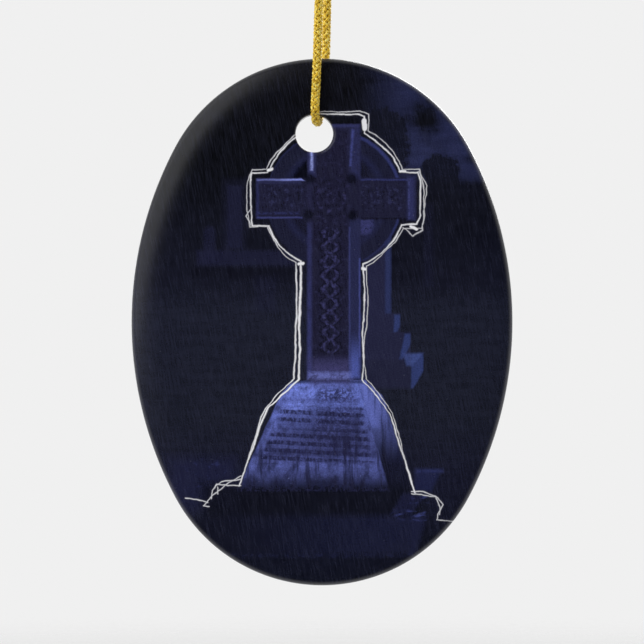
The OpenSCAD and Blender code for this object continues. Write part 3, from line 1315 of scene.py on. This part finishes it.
def knot_line(side, s):
    """One strand of the knot: up the core, over, round and down, back up the core and out."""
    turn = math.atan2(ROUTE[0][1], ROUTE[0][0]) + (math.pi if side > 0 else 0.0)
    r = s.diameter / 2
    height = knot_high.z - knot_low.z - TAIL_RISE
    wrap = (knot_high.y - knot_low.y) / 2 - r
    out = []

    def sweep(count, degrees, reach, rise):
        nonlocal turn
        first = turn
        for k in range(count):
            t = k / count
            turn = first + math.radians(degrees) * t
            away = reach[0] + (reach[1] - reach[0]) * t
            up = rise[0] + (rise[1] - rise[0]) * t
            out.append((away * math.cos(turn), away * math.sin(turn), up))
        turn = first + math.radians(degrees)

    sweep(5, 45, (r, r), (0.0, height - 1.3 * r))
    sweep(4, 95, (r, wrap), (height - 1.3 * r, height - 1.1 * r))
    sweep(18, 450, (wrap, wrap), (height - 1.1 * r, 1.6 * r))
    sweep(3, 75, (wrap, 1.5 * r), (1.6 * r, 1.9 * r))
    sweep(4, 55, (1.5 * r, 1.3 * r), (1.9 * r, height - 0.2 * r))
    way = Vector((side * 0.27, side * 0.07, 0.96)).normalized()
    start = Vector((1.3 * r * math.cos(turn), 1.3 * r * math.sin(turn), height))
    for k in range(7):
        t = k / 6
        bow = Vector((-way.z * side, 0.0, way.x)) * (0.0004 * math.sin(math.pi * t))
        out.append(tuple(start + way * (s.tail_length * t) + bow))
    return out


def frayed_end(line, s, count=26):
    """Short fibres that spread from a cut end."""
    tip = Vector(line[-1])
    way = (tip - Vector(line[-2])).normalized()
    side = way.orthogonal().normalized()
    up = way.cross(side)
    fibres = []
    for k in range(count):
        turn = k * GOLDEN_ANGLE
        out = math.sqrt((k + 0.5) / count)
        across = side * math.cos(turn) + up * math.sin(turn)
        root = tip + across * (out * s.diameter * 0.36) - way * 0.0003
        reach = FRAY_REACH + 0.0004 * math.sin(k * 1.7)
        lean = 0.35 * out + 0.12 * math.sin(k * 3.1)
        fibres.append(
            [
                tuple(root + way * (reach * t) + across * (reach * lean * t * t))
                for t in (0, 0.4, 0.75, 1)
            ]
        )
    return fibres


def fibre_mesh(lines, radius, material):
    guide = poly_curve("fibres", lines)
    guide.data.bevel_depth = radius
    guide.data.bevel_resolution = 0
    guide.data.use_fill_caps = True
    guide.data.materials.append(material)
    return plain_mesh(guide)


def joined(name, meshes):
    """One mesh of several, with each face on its own mesh's material."""
    bm = bmesh.new()
    materials = []
    for mesh in meshes:
        first = len(bm.faces)
        bm.from_mesh(mesh)
        bm.faces.ensure_lookup_table()
        for face in bm.faces[first:]:
            material = mesh.materials[face.material_index]
            if material not in materials:
                materials.append(material)
            face.material_index = materials.index(material)
    out = bpy.data.meshes.new(name)
    bm.to_mesh(out)
    bm.free()
    for material in materials:
        out.materials.append(material)
    return out


# ---------------------------------------------------------------- operators


class ORNAMENT_OT_porcelain(Operator):
    """Builds the printed porcelain oval"""

    bl_idname = "ornament.porcelain"
    bl_label = "Porcelain Oval"

    def execute(self, context):
        s = context.scene.ornament_oval
        oval = mesh_object("printed_oval", oval_mesh(s))
        oval.data.materials.append(porcelain_material(s))
        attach(oval, "root")
        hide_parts("porcelain_oval")
        return {"FINISHED"}


class ORNAMENT_OT_cord(Operator):
    """Builds the braided gold cord and its knot"""

    bl_idname = "ornament.cord"
    bl_label = "Gold Cord"

    def execute(self, context):
        s = context.scene.ornament_cord
        fibre = fibre_group()
        gold = gold_material(s, fibre)
        tree = braid_tree(gold, core_material(s, fibre))
        tied = [smooth_line(knot_line(side, s), 4) for side in (-1, 1)]
        frays = [fibre for line in tied for fibre in frayed_end(line, s)]
        meshes = [braided("cord knot braid", tied, s, tree), fibre_mesh(frays, FRAY_RADIUS, gold)]
        knot = mesh_object("tied_knot", joined("tied_knot", meshes))
        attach(knot, "root")
        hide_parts("cord_knot")
        line = smooth_line(ROUTE, 6)
        braid = joined("braided_cord", [braided("cord braid", [line], s, tree)])
        cord = mesh_object("braided_cord", braid)
        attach(cord, "root")
        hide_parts("cord_loop")
        return {"FINISHED"}


class ORNAMENT_OT_stage(Operator):
    """Builds the floor, lights, backdrop and camera"""

    bl_idname = "ornament.stage"
    bl_label = "Studio"

    def execute(self, context):
        s = context.scene.ornament_studio
        scene = context.scene
        scene.view_settings.view_transform = "Standard"
        lens = bpy.data.cameras.new("camera")
        lens.lens = s.lens
        lens.sensor_width = 36
        lens.clip_start = 0.01
        camera = mesh_object("camera", lens)
        away = s.view_width * s.lens / lens.sensor_width
        camera.location = (OVAL.x, oval_low.y - away, OVAL.z)
        camera.rotation_euler = (math.pi / 2, 0, 0)
        scene.camera = camera
        self.floor()
        self.lamps()
        self.backdrop(s)
        return {"FINISHED"}

    def floor(self):
        bm = bmesh.new()
        bmesh.ops.create_circle(bm, cap_ends=True, segments=96, radius=FLOOR_RADIUS)
        mesh = bpy.data.meshes.new("floor")
        bm.to_mesh(mesh)
        bm.free()
        floor = mesh_object("floor", mesh)
        floor.location = (OVAL.x, OVAL.y, oval_low.z - FLOOR_DROP)
        material, tree, shader = new_material("Pale floor")
        shader.inputs["Base Color"].default_value = (0.85, 0.85, 0.85, 1)
        shader.inputs["Roughness"].default_value = 0.9
        shader.inputs["Specular IOR Level"].default_value = 0.0
        coordinates = tree.nodes.new("ShaderNodeTexCoord")
        apart = tree.nodes.new("ShaderNodeVectorMath")
        apart.operation = "LENGTH"
        tree.links.new(coordinates.outputs["Object"], apart.inputs[0])
        shown = Field(tree, apart.outputs["Value"]).smooth(*FLOOR_FADE, 1.0, 0.0)
        rays = tree.nodes.new("ShaderNodeLightPath")
        direct = 1.0 - Field(tree, rays.outputs["Is Glossy Ray"])
        feed(tree, shown * direct, shader.inputs["Alpha"])
        floor.data.materials.append(material)

    def lamps(self):
        for name, place_, size, power, mirrored in (
            ("upper left softbox", (-0.62, -0.5, 0.42), 1.1, 3.5, True),
            ("upper left key", (-0.62, -0.5, 0.42), 0.5, 4.9, False),
            ("right fill", (0.75, -0.4, 0.1), 0.5, 2.7, False),
            ("rear fill", (0.35, 0.75, 0.45), 0.6, 4.0, True),
        ):
            light = bpy.data.lights.new(name, "AREA")
            light.shape = "DISK"
            light.size = size
            light.energy = power
            lamp = mesh_object(name, light)
            lamp.location = OVAL + Vector(place_)
            lamp.rotation_euler = (-Vector(place_)).to_track_quat("-Z", "Y").to_euler()
            lamp.visible_glossy = mirrored

    def backdrop(self, s):
        """Pale behind the ornament and dim in front of it, as in a studio with one pale wall."""
        world = bpy.data.worlds.new("studio")
        bpy.context.scene.world = world
        world.use_nodes = True
        tree = world.node_tree
        shade = tree.nodes["Background"]
        rays = tree.nodes.new("ShaderNodeLightPath")
        way = tree.nodes.new("ShaderNodeTexCoord")
        parts = tree.nodes.new("ShaderNodeSeparateXYZ")
        tree.links.new(way.outputs["Generated"], parts.inputs[0])
        forward = Field(tree, parts.outputs["Y"])
        behind = forward.smooth(-0.55, 0.15)
        upper_left = Field(tree, parts.outputs["Z"]) * 0.65 - Field(tree, parts.outputs["X"]) * 0.75
        booth = upper_left.smooth(0.62, 0.3) * forward.smooth(0.1, -0.1)
        seen = Field(tree, rays.outputs["Is Camera Ray"])
        mirrored = Field(tree, rays.outputs["Is Glossy Ray"]).high(
            Field(tree, rays.outputs["Is Transmission Ray"])
        )
        pale = tuple(s.backdrop)
        room = mixed(tree, behind, (0.03, 0.03, 0.034), pale)
        walls = mixed(tree, booth, (0.3, 0.3, 0.3), (0.01, 0.01, 0.012))
        colour = mixed(tree, mirrored, walls, room)
        colour = mixed(tree, seen, colour, pale)
        tree.links.new(colour, shade.inputs["Color"])
        shade.inputs["Strength"].default_value = 1.0


class ORNAMENT_PT_panel(Panel):
    """Lists the ornament's sizes, colours and pieces"""

    bl_label = "Hanging Ornament"
    bl_idname = "ORNAMENT_PT_panel"
    bl_space_type = "VIEW_3D"
    bl_region_type = "UI"
    bl_category = "Ornament"

    def draw(self, context):
        layout = self.layout
        scene = context.scene
        for group in (scene.ornament_oval, scene.ornament_cord, scene.ornament_studio):
            box = layout.box()
            for key in group.bl_rna.properties.keys():
                if key not in ("rna_type", "name"):
                    box.prop(group, key)
        for operator in OPERATORS:
            layout.operator(operator.bl_idname)


SETTINGS = (OvalSettings, CordSettings, StudioSettings)
OPERATORS = (ORNAMENT_OT_stage, ORNAMENT_OT_cord, ORNAMENT_OT_porcelain)


def register():
    for cls in (*SETTINGS, *OPERATORS, ORNAMENT_PT_panel):
        bpy.utils.register_class(cls)
    bpy.types.Scene.ornament_oval = PointerProperty(type=OvalSettings)
    bpy.types.Scene.ornament_cord = PointerProperty(type=CordSettings)
    bpy.types.Scene.ornament_studio = PointerProperty(type=StudioSettings)


def unregister():
    for cls in (ORNAMENT_PT_panel, *reversed(OPERATORS), *reversed(SETTINGS)):
        bpy.utils.unregister_class(cls)
    del bpy.types.Scene.ornament_oval
    del bpy.types.Scene.ornament_cord
    del bpy.types.Scene.ornament_studio


def main():
    register()
    bpy.ops.ornament.stage()
    bpy.ops.ornament.cord()
    bpy.ops.ornament.porcelain()


if __name__ == "__main__":
    main()
